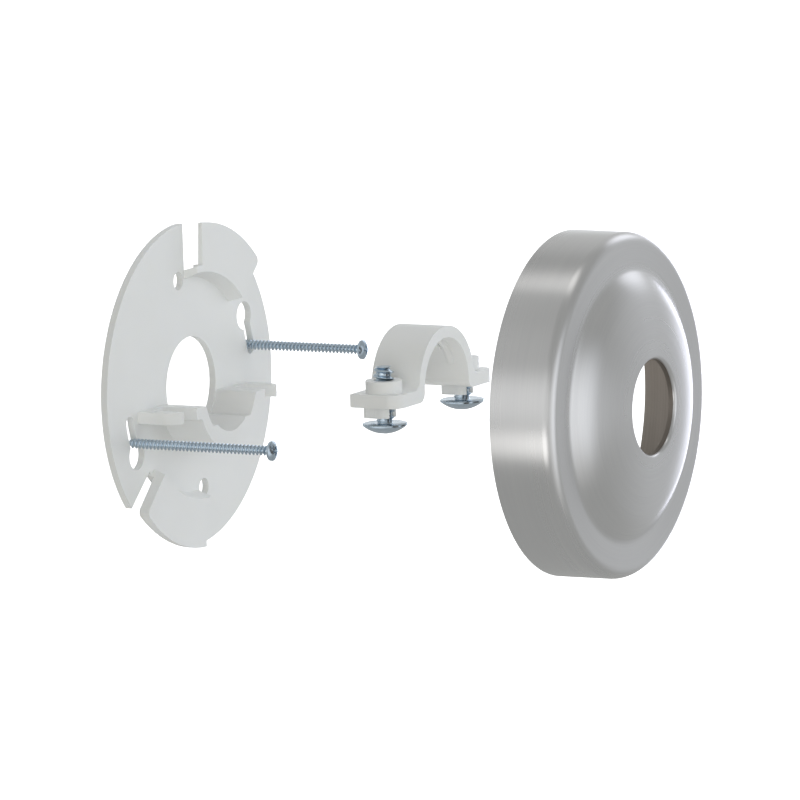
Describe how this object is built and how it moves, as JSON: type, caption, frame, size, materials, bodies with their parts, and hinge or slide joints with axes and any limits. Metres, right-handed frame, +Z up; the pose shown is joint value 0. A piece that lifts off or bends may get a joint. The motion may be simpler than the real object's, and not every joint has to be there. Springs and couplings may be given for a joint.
{
  "type": "shower arm flange",
  "caption": "Shower arm flange pulled apart: spun round cover, plastic wall plate with half an arm clamp, loose clamp half and screws. It steadies a shower arm and hides the hole in the wall.",
  "frame": {"origin": "centre of the arm passage in the wall plate's back face", "axes": "+X along the shower arm, out of the wall towards the room; +Y horizontal; +Z up"},
  "size_m": [0.1363, 0.0825, 0.0824],
  "materials": {
    "white_plastic": "moulded ABS, satin",
    "zinc_steel": "bright zinc plate, bluish",
    "satin_nickel": "spun and brushed round the axis, satin nickel"
  },
  "bodies": {
    "plate": {"wall_plate": "white_plastic"},
    "clamp": {"pipe_clamp": "white_plastic", "clamp_screw_left": "zinc_steel", "clamp_screw_right": "zinc_steel"},
    "upper_screw": {"wall_screw_upper": "zinc_steel"},
    "lower_screw": {"wall_screw_lower": "zinc_steel"},
    "cover_body": {"cover": "satin_nickel"}
  },
  "joints": [
    {"name": "cover_slide", "type": "slide", "parent": "plate", "child": "cover_body", "axis": [1, 0, 0], "range_m": [-0.1059, 0]},
    {"name": "clamp_slide", "type": "slide", "parent": "plate", "child": "clamp", "axis": [0.9985, 0, 0.0553], "range_m": [-0.0579, 0]},
    {"name": "upper_screw_slide", "type": "slide", "parent": "plate", "child": "upper_screw", "axis": [1, 0, 0], "range_m": [-0.03131, 0]},
    {"name": "lower_screw_slide", "type": "slide", "parent": "plate", "child": "lower_screw", "axis": [1, 0, 0], "range_m": [-0.03781, 0]}
  ],
  "couplings": [
    {"joint": "clamp_slide", "follows": "cover_slide", "ratio": 0.54663},
    {"joint": "upper_screw_slide", "follows": "cover_slide", "ratio": 0.29556},
    {"joint": "lower_screw_slide", "follows": "cover_slide", "ratio": 0.35694}
  ]
}
